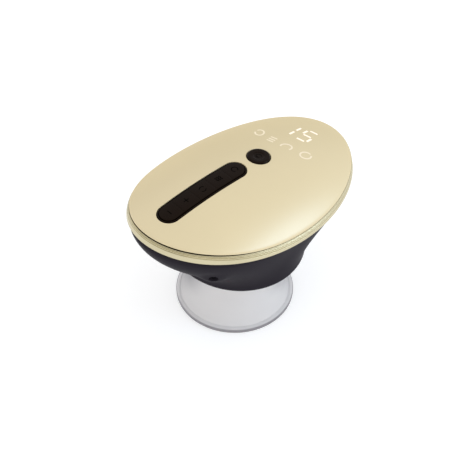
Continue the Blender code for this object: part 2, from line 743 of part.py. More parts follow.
def air_path(cup):
    """Elbow nipple over the cup, tee, and the three hoses that join cup, pump and valve."""
    x, y = NIPPLE_AT
    elbow = [(0, 46.0), (1.6, 46.0), (1.6, 42.4), (3.2, 42.4), (3.2, 41.1), (1.6, 41.1), (1.6, 39.3), (0, 39.3)]
    nipple = turned("suction_nipple", elbow, black_plastic(), cup, (x, y, 0), count=12)
    elbow_z = 44.4
    join(nipple, disc("barb", 1.3, 0.3, 5.2, black_plastic(), cup, (x, y, elbow_z), (0, -1, 0), 13))
    cut(nipple, disc("bore_up", 0.7, 39, elbow_z, black_plastic(), cup, (x, y, 0), count=9))
    tx, ty, tz = TEE_AT
    tee = disc("tee_fitting", 1.5, -4.5, 4.5, white_plastic(), cup, TEE_AT, (1, 0, 0), 12)
    join(tee, disc("tee_branch", 1.4, 0.3, 4.5, white_plastic(), cup, TEE_AT, (0, 0, -1), 13))
    hose, reach = silicone(), 5.1
    tube("nipple_hose", bent((x, y - 5.8, elbow_z), (x, y - 10, elbow_z), (tx, ty, tz - 9), (tx, ty, tz - reach)),
         1.6, hose, cup)
    tube("pump_hose", bent((-21, -15.8, PUMP_Z), (-21, -21, PUMP_Z), (-15, ty, tz), (tx - reach, ty, tz)),
         1.6, hose, cup)
    tube("valve_hose", [(tx + reach, ty, tz), (VALVE_AT[0] - 10.9, VALVE_AT[1], tz)], 1.6, hose, cup)


# ---------------------------------------------------------------- cup, seat and treatment core

def seat_screws():
    spots = [math.radians(a) for a in (80, 200, 320)]
    return [(SEAT_SCREW_RADIUS * math.cos(a), SEAT_SCREW_RADIUS * math.sin(a), 0) for a in spots]


def cup_seat(cup):
    """Seat that closes the neck: socket with a bayonet groove, flange, and the core under its plate."""
    profile = [
        (0, SEAT_TOP), (24.4, SEAT_TOP), (24.4, 36.6), (28.3, 36.6), (28.3, 34.8), (24.4, 34.8),
        (24.4, 33.0), (22.3, 33.0), (22.3, 35.4), (23.7, 35.4), (23.7, 38.2), (22.3, 38.2), (22.3, 39.0),
        (16.4, 39.0), (16.4, 31.0), (14.6, 31.0), (14.6, 38.8), (0, 38.8),
    ]
    seat = turned("cup_seat", profile, black_plastic(), cup, count=36)
    x, y = NIPPLE_AT
    holes = [disc("nipple_hole", 1.9, 38, 42, black_plastic(), cup, (x, y, 0), count=11)]
    for i, (sx, sy, _) in enumerate(seat_screws(), 1):
        holes.append(disc("seat_hole", 1.1, 34, 38, black_plastic(), cup, (sx, sy, 0), count=11))
        screw(f"seat_screw_{i}", (sx, sy, 36.6 + GAP), cup, 1.6, 0.7, 3.6)
    for a in LUG_ANGLES:
        a += LUG_TWIST
        at = (22.7 * math.cos(a), 22.7 * math.sin(a), 0)
        holes.append(box("lug_entry", (-1.2, -3.6, 32), (0.9, 3.6, 37), black_plastic(), cup, at, (0, 0, a)))
    return cut(seat, *holes)


def treatment_core(cup):
    """What the skin faces inside the cup: a steel plate with suction holes, ringed by a lamp lens."""
    plate = disc("treatment_plate", 11.4, 31.3, 32.3, steel(), cup, count=32)
    cut(plate, *[disc("suction_hole", 0.8, 30, 34, steel(), cup, (8 * math.cos(a), 8 * math.sin(a), 0), count=9)
                 for a in angles(6)])
    turned("light_lens", [(11.8, 31.3), (14.3, 31.3), (14.3, 32.5), (11.8, 32.5)], lamp(), cup, count=32)
    turned("light_board", [(9.4, 33.0), (14.2, 33.0), (14.2, 34.0), (9.4, 34.0)], board_green(), cup, count=24)
    seal = [(17.1 + 0.45 * math.cos(a), 36.0 + 0.45 * math.sin(a)) for a in angles(6)]
    turned("cup_seal", seal[::-1], silicone(), cup, count=32)


def cup_pieces(cup):
    """The collar that twists into the seat, and the flared cup that pulls out of the collar."""
    collar = turned("cup_collar", [(19.9, 30.6), (19.9, 38.6), (22.0, 38.6), (22.0, 30.6)],
                    black_plastic(), cup, count=36)
    join(collar, *[box("lug", (-1.1, -2.8, 36.0), (0.85, 2.8, 37.6), black_plastic(), cup,
                       (22.4 * math.cos(a), 22.4 * math.sin(a), 0), (0, 0, a)) for a in LUG_ANGLES])
    profile = [
        (CUP_NECK_OUTER, CUP_TOP), (CUP_NECK_OUTER, 27.0), (20.4, 17.5), (22.2, 10.5), (24.6, 6.0),
        (27.2, 3.0), (CUP_MOUTH - 0.2, 1.8), (CUP_MOUTH, 1.1), (CUP_MOUTH - 0.9, 0.0), (27.2, 0.0),
        (25.2, 2.2), (22.6, 5.4), (20.3, 10.1), (18.6, 17.1), (CUP_NECK_INNER, 27.0), (CUP_NECK_INNER, CUP_TOP),
    ]
    turned("cup", profile, frosted(), cup, count=ROUND)


# ---------------------------------------------------------------- assembly

def empty(name, at, tilt=0.0):
    obj = bpy.data.objects.new(name, None)
    bpy.context.scene.collection.objects.link(obj)
    obj.location = Vector(at) * MM
    obj.rotation_euler = (0, tilt, 0)
    return obj


def build():
    clear_scene()
    cup = empty("cup_axis", (CUP_X, 0, 0))
    head = empty("head_frame", (CUP_X, 0, RIM_Z), TILT)
    top_cover(head)
    trim_ring(head)
    inner_frame(head)
    lower_housing(cup, head)
    keypad_bezel(head)
    keys(head)
    power_button(head)
    push_switches(head)
    electronics(head)
    frame_screws(head)
    power_pieces(cup, head)
    pump(cup)
    valve(cup)
    air_path(cup)
    cup_seat(cup)
    treatment_core(cup)
    cup_pieces(cup)


build()
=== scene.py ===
"""Looks of the hand-held suction-cup body massager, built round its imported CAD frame.

Everything is in the row frame: the origin is on the table under the middle of the head, +X runs
along the head towards the display end, +Z up. Sizes are in millimetres; MM turns them into metres.
The head has its own directions: s along it, w across it, h out of its top cover.
"""
import json
import math

import bmesh
import bpy
import numpy as np
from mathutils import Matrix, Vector
from mathutils.geometry import delaunay_2d_cdt


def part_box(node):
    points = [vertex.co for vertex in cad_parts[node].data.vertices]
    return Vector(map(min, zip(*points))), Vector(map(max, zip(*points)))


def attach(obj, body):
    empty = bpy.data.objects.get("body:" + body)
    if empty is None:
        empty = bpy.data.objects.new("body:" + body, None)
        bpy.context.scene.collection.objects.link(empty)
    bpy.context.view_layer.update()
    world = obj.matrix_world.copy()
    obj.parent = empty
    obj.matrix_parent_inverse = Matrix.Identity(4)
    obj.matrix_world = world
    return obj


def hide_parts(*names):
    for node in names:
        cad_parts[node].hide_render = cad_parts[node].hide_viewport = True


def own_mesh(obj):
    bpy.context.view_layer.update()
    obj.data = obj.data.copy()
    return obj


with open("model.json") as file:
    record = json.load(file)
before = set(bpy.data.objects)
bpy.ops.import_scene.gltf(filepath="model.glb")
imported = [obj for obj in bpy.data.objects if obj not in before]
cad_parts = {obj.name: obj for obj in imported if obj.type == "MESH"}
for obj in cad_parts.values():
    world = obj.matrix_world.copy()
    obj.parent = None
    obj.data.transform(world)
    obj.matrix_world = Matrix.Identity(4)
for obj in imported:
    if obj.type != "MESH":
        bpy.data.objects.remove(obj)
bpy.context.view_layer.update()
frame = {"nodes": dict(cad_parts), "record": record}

MM = 0.001

# Head, as in the CAD: an ellipse seen from above, whose rim rises towards both ends.
HALF_LENGTH = 60.0
HALF_WIDTH = 39.3
FULLNESS = 0.016
HEAD_SHIFT = 5.2
CUP_X = -5.4
RIM_Z = 66.4
TILT = math.radians(5.35)
RIM_RISE = 6.5
KEY_END_LIFT = 1.0        # how much more the cover's edge rises at the key end
DOME = 14.8
DOME_POWER = 2.12
DOME_EASE = 0.915
COVER_WALL = 1.8
COVER_EDGE = 0.4
EDGE_ROLL = 0.9           # width of the rolled edge round the cover
OPENING_ROLL = 0.16       # the same round its openings

# Lower housing.
WALL = 2.0
NECK_RADIUS_X = 31.75
NECK_RADIUS_Y = 33.7
NECK_SHIFT = 1.4
FOOT_Z = 32.45
FOOT_ROUND = 2.9
FOOT_HOLE = 24.7
HULL_START_OUT = 0.37
HULL_START_H = -4.35
HULL_TOP_H = -4.8
HULL_TOP_ROUND = 1.6
HULL_KEY_END_ROUND = 1.8   # how much more the housing's edge is rounded at the key end
LEDGE_OUT = -6.0
LEDGE_BOTTOM_H = -7.0
JACK_FACE = (-36.1, -24.3, 54.7)   # from the cup's axis at table height
JACK_AXIS = (-0.65, -0.69, -0.30)
JACK_HOLE = 2.15
JACK_FLAT, JACK_FADE = 2.5, 9.0    # radii of the flat round the hole and of its fade

# Controls.
STRIP_START = -40.5
STRIP_END = -1.45
STRIP_RADIUS = 5.8
KEY_COUNT = 5
KEY_PITCH = (STRIP_END - STRIP_START) / (KEY_COUNT - 1)
BEZEL_OUTER = 5.5
BEZEL_INNER = 4.8
KEY_RADIUS = 4.5
KEY_GAP = 0.06
KEY_PROUD = 0.25
STEM_RADIUS = 1.5
STEM_BOTTOM = 8.08
POWER_S = 13.8
POWER_HOLE = 5.8
POWER_RADIUS = 5.5

# Display: where its digits stand, which way they read, and the size of one digit.
DIGIT_CENTRE = np.array((44.95, -1.45))
DIGIT_RIGHT = np.array((0.275, -0.961))
DIGIT_UP = np.array((0.9955, 0.094))
DIGIT_HALF_WIDTH = 2.8
DIGIT_HALF_HEIGHT = 5.3
DIGIT_PITCH = 9.17
SEGMENT_WIDTH = 1.25
MARK_HEIGHT = 0.02         # how far marks and digits stand over their surface

# Cup, treatment plate and the spring of the release valve.
CUP_TOP = 38.6
LIP_INNER, LIP_OUTER = 27.0, 28.95   # radii between which the cup's lip is painted a little darker, with a painted dark outline at its outer edge
PLATE_HOLES = 6
PLATE_HOLE_CIRCLE = 8
SPRING_TURNS = 4
SPRING_WIRE = 0.2          # radius of the wire

# Fineness of the meshes.
AROUND = 320               # columns round the head
CUP_SEGMENTS = 192

# Camera, in metres and in shares of the picture's width.
CAMERA_AT = (-0.2904, -0.2999, 0.4745)
CAMERA_TARGET_Z = 0.040
CAMERA_LENS = 99.08
CAMERA_SHIFT = (-0.01127, 0.00673)

# Darker patches of the surround: azimuth, elevation, how much lower than wide, radii of the
# full shade and of its end on the unit sphere, and the strength left in the middle.
LOW_LEFT_FLAG = (-155, 8, 2.5, 0.2, 0.42, 0.1)
BACK_FLAG = (46, 5, 1.5, 0.4, 1.0, 0.7)


# ---------------------------------------------------------------- geometry of the head

def outline(t, out=0.0):
    """Points (s, w) of the rim at angles t, moved outwards."""
    swell = 1 + FULLNESS * np.cos(2 * t)
    s = HEAD_SHIFT + HALF_LENGTH * np.cos(t)
    w = HALF_WIDTH * swell * np.sin(t)
    ds = -HALF_LENGTH * np.sin(t)
    dw = HALF_WIDTH * (swell * np.cos(t) - 2 * FULLNESS * np.sin(2 * t) * np.sin(t))
    size = np.hypot(ds, dw)
    return s + out * dw / size, w - out * ds / size


def rise(s):
    """How much higher the rim stands towards both ends."""
    return RIM_RISE * ((s - HEAD_SHIFT) / HALF_LENGTH) ** 2


def lift(s):
    """How much higher the cover's edge stands towards the key end than the rim does."""
    f = np.clip((-0.2 - (s - HEAD_SHIFT) / HALF_LENGTH) / 0.7, 0, 1)
    return KEY_END_LIFT * f * f * (3 - 2 * f)


def head_place(s, w, h):
    """Row-frame points of head coordinates, as an array with one row each."""
    s, w, h = np.broadcast_arrays(s, w, h)
    x = CUP_X + s * math.cos(TILT) + h * math.sin(TILT)
    z = RIM_Z - s * math.sin(TILT) + h * math.cos(TILT)
    return np.stack([x, w, z], axis=-1)


def height_over_rim(points):
    """How far row-frame points stand over the rim's own height."""
    x, z = points[..., 0] - CUP_X, points[..., 2] - RIM_Z
    s = x * math.cos(TILT) - z * math.sin(TILT)
    return x * math.sin(TILT) + z * math.cos(TILT) - rise(s)


def rim_ring(t, out, up, share=0.0):
    """Points beside the rim all the way round, with their share of the key end's lift."""
    s, w = outline(t, out)
    return head_place(s, w, up + rise(s) + share * lift(s))


def reach(s, w):
    """Fraction of the way from the cover's middle to its rim."""
    u = (s - HEAD_SHIFT) / HALF_LENGTH
    swell = 1.0
    for _ in range(6):
        t = np.arctan2(w / (HALF_WIDTH * swell), u)
        swell = 1 + FULLNESS * np.cos(2 * t)
    return np.hypot(u, w / (HALF_WIDTH * swell))


def cover_height(s, w):
    """Height of the cover's dome, before its edges are rolled."""
    q = reach(s, w)
    return DOME * np.maximum(1 - q ** DOME_POWER, 0) ** DOME_EASE + rise(s) + lift(s) * q ** 8


def strip_distance(s, w):
    """Distance from the key strip's middle line."""
    nearest = np.clip(s, STRIP_START, STRIP_END)
    return np.hypot(s - nearest, w)


def rolled(distance, width, depth):
    """How far a surface drops at a distance from a rounded edge."""
    inside = np.clip(1 - distance / width, 0, 1)
    return depth * (1 - np.sqrt(1 - inside ** 2))


def cover_surface(s, w):
    """Height of the cover with its rolled rim and its rounded openings."""
    q = reach(s, w)
    from_rim = (1 - q) / np.maximum(q, 0.1) * np.hypot(s - HEAD_SHIFT, w)
    from_strip = strip_distance(s, w) - STRIP_RADIUS
    from_power = np.hypot(s - POWER_S, w) - POWER_HOLE
    return (cover_height(s, w) - rolled(from_rim, EDGE_ROLL, COVER_EDGE)
            - rolled(from_strip, OPENING_ROLL, OPENING_ROLL)
            - rolled(from_power, OPENING_ROLL, OPENING_ROLL))


def hull(t, v):
    """Housing's outer sweep: v runs from the rim, 0, to the neck's foot, 1."""
    t, v = np.broadcast_arrays(t, v)
    c, double = np.cos(t), np.cos(2 * t)
    v = v[..., None]
    top = rim_ring(t, HULL_START_OUT, HULL_START_H)
    foot = np.stack([CUP_X + NECK_SHIFT + NECK_RADIUS_X * c, NECK_RADIUS_Y * np.sin(t),
                     np.full(t.shape, FOOT_Z + FOOT_ROUND)], axis=-1)
    inwards = (foot - top) * (1, 1, 0)
    inwards /= np.linalg.norm(inwards, axis=-1, keepdims=True)
    lean = (0.256 + 0.256 * c - 0.08 * double)[..., None]
    flare = (8.9 - 8.2 * c - 0.14 * double)[..., None]
    splay = 0.054
    throat = (9.4 - 0.9 * c + 0.35 * double)[..., None]
    down = np.array((0, 0, -1.0))
    pull = top + (inwards * np.sin(lean) + down * np.cos(lean)) * flare
    push = foot - (inwards * math.sin(splay) + down * math.cos(splay)) * throat
    return (top * (1 - v) ** 3 + pull * 3 * (1 - v) ** 2 * v
            + push * 3 * (1 - v) * v * v + foot * v ** 3)


def hull_inside(t, v):
    """The housing's inner surface: the outer one moved in by the wall."""
    step = 0.002
    along = hull(t, np.minimum(v + step, 1)) - hull(t, np.maximum(v - step, 0))
    around = hull(t + step, v) - hull(t - step, v)
    inwards = np.cross(around, along)
    inwards /= np.linalg.norm(inwards, axis=-1, keepdims=True)
    middle = np.array((CUP_X, 0, RIM_Z))
    towards = np.sum(inwards * (middle - hull(t, v)), axis=-1, keepdims=True)
    return hull(t, v) + inwards * np.sign(towards) * WALL


def sweep_place(surface, t, level):
    """The v at which a sweep passes a height over the rim, for every t."""
    low, high = np.zeros_like(t), np.ones_like(t)
    for _ in range(30):
        middle = (low + high) / 2
        above = height_over_rim(surface(t, middle)) > level
        low, high = np.where(above, middle, low), np.where(above, high, middle)
    return low


# ---------------------------------------------------------------- mesh helpers

def piece(name, verts, faces, material, body, node=None, slot=None, sharp=35):
    """A closed mesh piece from row-frame points in millimetres, riding on a CAD body."""
    mesh = bpy.data.meshes.new(name)
    mesh.from_pydata([Vector(v) * MM for v in verts], [], faces)
    bm = bmesh.new()
    bm.from_mesh(mesh)
    bmesh.ops.remove_doubles(bm, verts=bm.verts, dist=1e-7)
    bmesh.ops.recalc_face_normals(bm, faces=bm.faces)
    bm.to_mesh(mesh)
    bm.free()
    mesh.shade_smooth()
    mesh.set_sharp_from_angle(angle=math.radians(sharp))
    mesh.materials.append(material)
    obj = bpy.data.objects.new(name, mesh)
    bpy.context.scene.collection.objects.link(obj)
    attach(obj, body)
    if node:
        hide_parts(*([node] if isinstance(node, str) else node))
    return obj


def joined_rings(rings, closed_section=False):
    """Vertices and quads between rings of equal length, each an (n, 3) array."""
    count = len(rings[0])
    verts = np.concatenate(rings)
    faces = []
    pairs = list(zip(range(len(rings)), range(1, len(rings))))
    if closed_section:
        pairs.append((len(rings) - 1, 0))
    for a, b in pairs:
        for j in range(count):
            k = (j + 1) % count
            faces.append((a * count + j, a * count + k, b * count + k, b * count + j))
    return verts, faces


def turned(name, profile, material, body, at=(0, 0, 0), axis=(0, 0, 1), count=96, **keys):
    """A turned solid from (radius, height) points; a ring unless it starts and ends at radius 0."""
    a = np.linspace(0, 2 * math.pi, count, endpoint=False)
    rings = [np.stack([r * np.cos(a), r * np.sin(a), np.full(count, h)], axis=-1)
             for r, h in profile]
    verts, faces = joined_rings(rings, closed_section=profile[0][0] > 0)
    turn = np.array(Vector((0, 0, 1)).rotation_difference(Vector(axis)).to_matrix())
    return piece(name, verts @ turn.T + np.array(at), faces, material, body, **keys)


def rounded(points, radius, steps=5):
    """A (x, y) outline with rounded inner corners; `radius` is one value or one per corner."""
    made = [points[0]]
    radii = radius if isinstance(radius, (list, tuple)) else [radius] * (len(points) - 2)
    for before, corner, after, r in zip(points, points[1:], points[2:], radii):
        b, c, a = (np.array(p, float) for p in (before, corner, after))
        first = c + (b - c) / np.linalg.norm(b - c) * r
        last = c + (a - c) / np.linalg.norm(a - c) * r
        for f in np.linspace(0, 1, steps):
            made.append(tuple((1 - f) ** 2 * first + 2 * (1 - f) * f * c + f * f * last))
    made.append(points[-1])
    return made


def smooth_line(points, per=6):
    """A Catmull-Rom curve through (x, y) points."""
    p = np.array(points, float)
    p = np.concatenate([[2 * p[0] - p[1]], p, [2 * p[-1] - p[-2]]])
    made = []
    for a, b, c, d in zip(p, p[1:], p[2:], p[3:]):
        for f in np.arange(per) / per:
            made.append(tuple(0.5 * (2 * b + (c - a) * f + (2 * a - 5 * b + 4 * c - d) * f ** 2
                                     + (3 * b - a - 3 * c + d) * f ** 3)))
    made.append(tuple(points[-1]))
    return made


def strip_outline(radius, count=24, straight=32):
    """Outline of the key strip: two half circles and straight sides."""
    points = []
    for centre, far, side in ((STRIP_END, STRIP_START, 1), (STRIP_START, STRIP_END, -1)):
        for a in np.linspace(-math.pi / 2, math.pi / 2, count + 1):
            points.append((centre + side * radius * math.cos(a), side * radius * math.sin(a)))
        for f in np.linspace(0, 1, straight + 1)[1:-1]:
            points.append((centre + f * (far - centre), side * radius))
    return points


def apply_boolean(obj, tool, operation):
    """Joins a tool to a mesh or cuts it out of it, and removes the tool."""
    modifier = obj.modifiers.new("cut", "BOOLEAN")
    modifier.operation = operation
    modifier.object = tool
    evaluated = obj.evaluated_get(bpy.context.evaluated_depsgraph_get())
    made = bpy.data.meshes.new_from_object(evaluated)
    obj.modifiers.clear()
    obj.data = made
    bpy.data.objects.remove(tool, do_unlink=True)


def ribbon(name, paths, width, surface, height, material, body, **keys):
    """Thin marks laid on a surface of the head: each path of (s, w) points becomes a low strip."""
    verts, faces = [], []
    for path in paths:
        p = np.array(path, float)
        along = np.concatenate([p[1:], p[-1:]]) - np.concatenate([p[:1], p[:-1]])
        along /= np.linalg.norm(along, axis=1, keepdims=True)
        side = np.stack([-along[:, 1], along[:, 0]], axis=1) * width / 2
        start, rows = len(verts), []
        section = ((1, -0.05), (0.85, height), (0, height * 1.2), (-0.85, height), (-1, -0.05),
                   (0, -0.3))
        for f, up in section:
            s, w = (p + side * f).T
            rows.append(head_place(s, w, surface(s, w) + up))
        points = np.stack(rows, axis=1)
        sides, count = points.shape[1], len(p)
        verts.extend(points.reshape(-1, 3))
        for i in range(count - 1):
            a, b = start + i * sides, start + (i + 1) * sides
            for j in range(sides):
                k = (j + 1) % sides
                faces.append((a + j, a + k, b + k, b + j))
        faces.append(tuple(range(start, start + sides)))
        faces.append(tuple(range(start + (count - 1) * sides, start + count * sides)))
    return piece(name, verts, faces, material, body, **keys)


# ---------------------------------------------------------------- materials

def nodes_of(name):
    """A new material with its node tree and its Principled BSDF."""
    made = bpy.data.materials.new(name)
    made.use_nodes = True
    return made, made.node_tree, made.node_tree.nodes["Principled BSDF"]


def noise(tree, scale, detail=3.0, stretch=None):
    """Noise in the piece's own coordinates, which are metres in the row frame."""
    coordinates = tree.nodes.new("ShaderNodeTexCoord")
    texture = tree.nodes.new("ShaderNodeTexNoise")
    texture.inputs["Scale"].default_value = scale
    texture.inputs["Detail"].default_value = detail
    source = coordinates.outputs["Object"]
    if stretch:
        mapping = tree.nodes.new("ShaderNodeMapping")
        mapping.inputs["Scale"].default_value = stretch
        tree.links.new(source, mapping.inputs["Vector"])
        source = mapping.outputs["Vector"]
    tree.links.new(source, texture.inputs["Vector"])
    return texture.outputs["Fac"]


def ranged(tree, value, low, high):
    """Noise, which lies mostly between 0.3 and 0.7, spread between two values."""
    node = tree.nodes.new("ShaderNodeMapRange")
    node.inputs["From Min"].default_value = 0.3
    node.inputs["From Max"].default_value = 0.7
    node.inputs["To Min"].default_value = low
    node.inputs["To Max"].default_value = high
    tree.links.new(value, node.inputs["Value"])
    return node.outputs["Result"]


def finish(name, color, roughness, metallic=0.0, cloud=(40, 0.06), grain=(2500, 0.05),
           stretch=None, bump=0.00001, **sockets):
    """A moulded, plated or brushed surface. `cloud` is the scale and strength of soft colour changes,
    `grain` the scale of the fine texture and how far it moves the roughness, `bump` its height."""
    made, tree, shader = nodes_of(name)
    shader.inputs["Metallic"].default_value = metallic
    for socket, value in sockets.items():
        shader.inputs[socket.replace("_", " ")].default_value = value
    mix = tree.nodes.new("ShaderNodeMix")
    mix.data_type = "RGBA"
    mix.inputs["A"].default_value = (*[c * (1 - cloud[1]) for c in color], 1)
    mix.inputs["B"].default_value = (*[min(c * (1 + cloud[1]), 1) for c in color], 1)
    tree.links.new(ranged(tree, noise(tree, cloud[0]), 0, 1), mix.inputs["Factor"])
    tree.links.new(mix.outputs["Result"], shader.inputs["Base Color"])
    fine = noise(tree, grain[0], 4, stretch)
    rough = ranged(tree, fine, roughness - grain[1], roughness + grain[1])
    tree.links.new(rough, shader.inputs["Roughness"])
    bumps = tree.nodes.new("ShaderNodeBump")
    bumps.inputs["Distance"].default_value = bump
    bumps.inputs["Strength"].default_value = 1.0
    tree.links.new(fine, bumps.inputs["Height"])
    tree.links.new(bumps.outputs["Normal"], shader.inputs["Normal"])
    return made


def by_angle(made, socket, facing, values):
    """Links a socket to a value that changes as the surface turns away from the eye."""
    tree = made.node_tree
    turned_away = tree.nodes.new("ShaderNodeLayerWeight").outputs["Facing"]
    change = tree.nodes.new("ShaderNodeMapRange")
    change.interpolation_type = "SMOOTHSTEP"
    span = ("From Min", "From Max", "To Min", "To Max")
    for end, value in zip(span, (*facing, *values)):
        change.inputs[end].default_value = value
    tree.links.new(turned_away, change.inputs["Value"])
    if socket:
        tree.links.new(change.outputs["Result"], tree.nodes["Principled BSDF"].inputs[socket])
    return change.outputs["Result"]


def lit(name, color, glow, strength):
    """A surface that glows through the plating."""
    made, _, shader = nodes_of(name)
    shader.inputs["Base Color"].default_value = (*color, 1)
    shader.inputs["Roughness"].default_value = 0.4
    shader.inputs["Emission Color"].default_value = (*glow, 1)
    shader.inputs["Emission Strength"].default_value = strength
    return made


def frosted_glass():
    """Frosted polycarbonate: soft haze that passes light, with painted shade that darkens it where it
    is seen edge-on. The lip is a little darker too, and its polished outer edge carries a painted dark
    outline."""
    made, tree, shader = nodes_of("frosted_polycarbonate")
    shader.inputs["Transmission Weight"].default_value = 0.45
    shader.inputs["IOR"].default_value = 1.3
    # painted shade: the base colour turns dark grey where the cup is seen edge-on
    edge_on_shade = tree.nodes.new("ShaderNodeMix")
    edge_on_shade.data_type = "RGBA"
    edge_on_shade.inputs["A"].default_value = (0.87, 0.855, 0.85, 1)
    edge_on_shade.inputs["B"].default_value = (0.25, 0.245, 0.27, 1)
    tree.links.new(by_angle(made, None, (0.3, 1.0), (0.0, 1.0)), edge_on_shade.inputs["Factor"])
    off_axis = tree.nodes.new("ShaderNodeVectorMath")
    off_axis.operation = "MULTIPLY_ADD"
    off_axis.inputs[1].default_value = (1, 1, 0)
    off_axis.inputs[2].default_value = (-CUP_X * MM, 0, 0)
    tree.links.new(tree.nodes.new("ShaderNodeTexCoord").outputs["Object"], off_axis.inputs[0])
    radius = tree.nodes.new("ShaderNodeVectorMath")
    radius.operation = "LENGTH"
    tree.links.new(off_axis.outputs["Vector"], radius.inputs[0])
    # painted shade: by radius, the lip is a little darker and its outer edge gets a dark outline
    place = tree.nodes.new("ShaderNodeMapRange")
    place.inputs["From Min"].default_value = LIP_INNER * MM
    place.inputs["From Max"].default_value = LIP_OUTER * MM
    tree.links.new(radius.outputs["Value"], place.inputs["Value"])
    lip = tree.nodes.new("ShaderNodeValToRGB")
    tree.links.new(place.outputs["Result"], lip.inputs["Fac"])
    stops = ((0.0, (1, 1, 1)), (0.15, (0.9, 0.9, 0.91)), (0.75, (0.9, 0.9, 0.91)),
             (0.97, (0.3, 0.29, 0.315)))
    ramp = lip.color_ramp.elements
    for spot, _ in stops[1:-1]:
        ramp.new(spot)
    for stop, (spot, color) in zip(ramp, stops):
        stop.position, stop.color = spot, (*color, 1)
    both = tree.nodes.new("ShaderNodeMix")
    both.data_type, both.blend_type = "RGBA", "MULTIPLY"
    both.inputs["Factor"].default_value = 1.0
    tree.links.new(edge_on_shade.outputs["Result"], both.inputs["A"])
    tree.links.new(lip.outputs["Color"], both.inputs["B"])
    tree.links.new(both.outputs["Result"], shader.inputs["Base Color"])
    fine = noise(tree, 1800, 4)
    tree.links.new(ranged(tree, fine, 0.42, 0.5), shader.inputs["Roughness"])
    return made


GOLD = finish("champagne_gold_plating", (0.70, 0.572, 0.318), 0.5, 0.15, cloud=(25, 0.015),
              grain=(900, 0.02), bump=0.000004, Specular_IOR_Level=0.1, Coat_Roughness=0.35,
              Coat_IOR=2.0)
by_angle(GOLD, "Coat Weight", (0.35, 0.8), (1.0, 0.1))
GOLD_TRIM = finish("polished_gold_plating", (0.58, 0.52, 0.345), 0.24, 1.0, cloud=(60, 0.03),
                   grain=(700, 0.03), stretch=(1, 1, 6), bump=0.000004)
CHARCOAL = finish("charcoal_soft_touch", (0.0222, 0.0193, 0.0249), 0.42, cloud=(30, 0.08),
                  grain=(3500, 0.04), bump=0.000012, IOR=1.07)
KEY_BLACK = finish("brown_black_gloss", (0.005, 0.0025, 0.0014), 0.26, cloud=(60, 0.1),
                   grain=(1500, 0.04), bump=0.000004, IOR=1.2, Specular_Tint=(1.0, 0.72, 0.55, 1))
KEY_MARK = finish("key_mark", (0.001, 0.0007, 0.0005), 0.6, cloud=(60, 0.1), IOR=1.05)
BLACK_PLASTIC = finish("black_moulded_plastic", (0.02, 0.02, 0.02), 0.45, cloud=(60, 0.1),
                       bump=0.00002)
WHITE_PLASTIC = finish("white_moulded_plastic", (0.75, 0.75, 0.72), 0.4, cloud=(60, 0.03),
                       bump=0.00001)
BOARD_GREEN = finish("solder_mask", (0.015, 0.14, 0.06), 0.35, cloud=(350, 0.35),
                     grain=(1200, 0.05))
STEEL = finish("brushed_steel", (0.62, 0.62, 0.64), 0.28, 1.0, cloud=(80, 0.05),
               grain=(600, 0.1), stretch=(1, 12, 1), bump=0.00001)
COPPER = finish("copper_winding", (0.72, 0.33, 0.16), 0.3, 1.0, cloud=(200, 0.15),
                grain=(300, 0.08), stretch=(1, 1, 20), bump=0.0001)
SILICONE = finish("milky_silicone", (0.72, 0.72, 0.70), 0.5, cloud=(80, 0.04), bump=0.00002)
LAMP = finish("red_lamp_lens", (0.75, 0.09, 0.06), 0.25, cloud=(120, 0.1), bump=0.00001)
BATTERY = finish("battery_sleeve", (0.03, 0.14, 0.38), 0.35, cloud=(60, 0.08),
                 grain=(400, 0.06), bump=0.00002)
LEAD = finish("red_lead", (0.45, 0.03, 0.02), 0.4, cloud=(100, 0.08), bump=0.00001)
CUP_FROST = frosted_glass()
DIGIT_GLOW = lit("digit_glow", (0.25, 0.22, 0.16), (1.0, 0.91, 0.80), 0.85)
SYMBOL_GLOW = lit("symbol_glow", (0.25, 0.22, 0.16), (1.0, 0.87, 0.66), 0.62)

SLOT_FINISH = {
    "gold_cover": GOLD, "gold_trim": GOLD_TRIM, "charcoal_shell": CHARCOAL, "key_black": KEY_BLACK,
    "black_plastic": BLACK_PLASTIC, "white_plastic": WHITE_PLASTIC, "frosted_cup": CUP_FROST,
    "silicone": SILICONE, "circuit_board": BOARD_GREEN, "steel": STEEL, "copper": COPPER,
    "battery_wrap": BATTERY, "lamp_lens": LAMP, "lead_red": LEAD,
}


def dress_nodes():
    """Every CAD node takes the procedural finish of its material slot."""
    for part in frame["record"]["subparts"]:
        obj = frame["nodes"][part["node"]]
        obj.data.materials.clear()
        obj.data.materials.append(SLOT_FINISH[part["material_slot"]])


# ---------------------------------------------------------------- casing

def lattice():
    """Points (s, w) all over the cover, in rings that crowd towards the rim."""
    rings = [0.9985, 0.996, 0.992, 0.986, 0.978, 0.967, 0.953]
    rings += list(np.arange(0.93, 0.02, -0.026))
    points = [(HEAD_SHIFT, 0.0)]
    for i, q in enumerate(rings):
        count = AROUND if q > 0.9 else max(8, round(AROUND * q * 0.75))
        turn = i % 2 * math.pi / count
        s, w = outline(np.linspace(0, 2 * math.pi, count, endpoint=False) + turn)
        points += list(zip(HEAD_SHIFT + q * (s - HEAD_SHIFT), q * w))
    return points


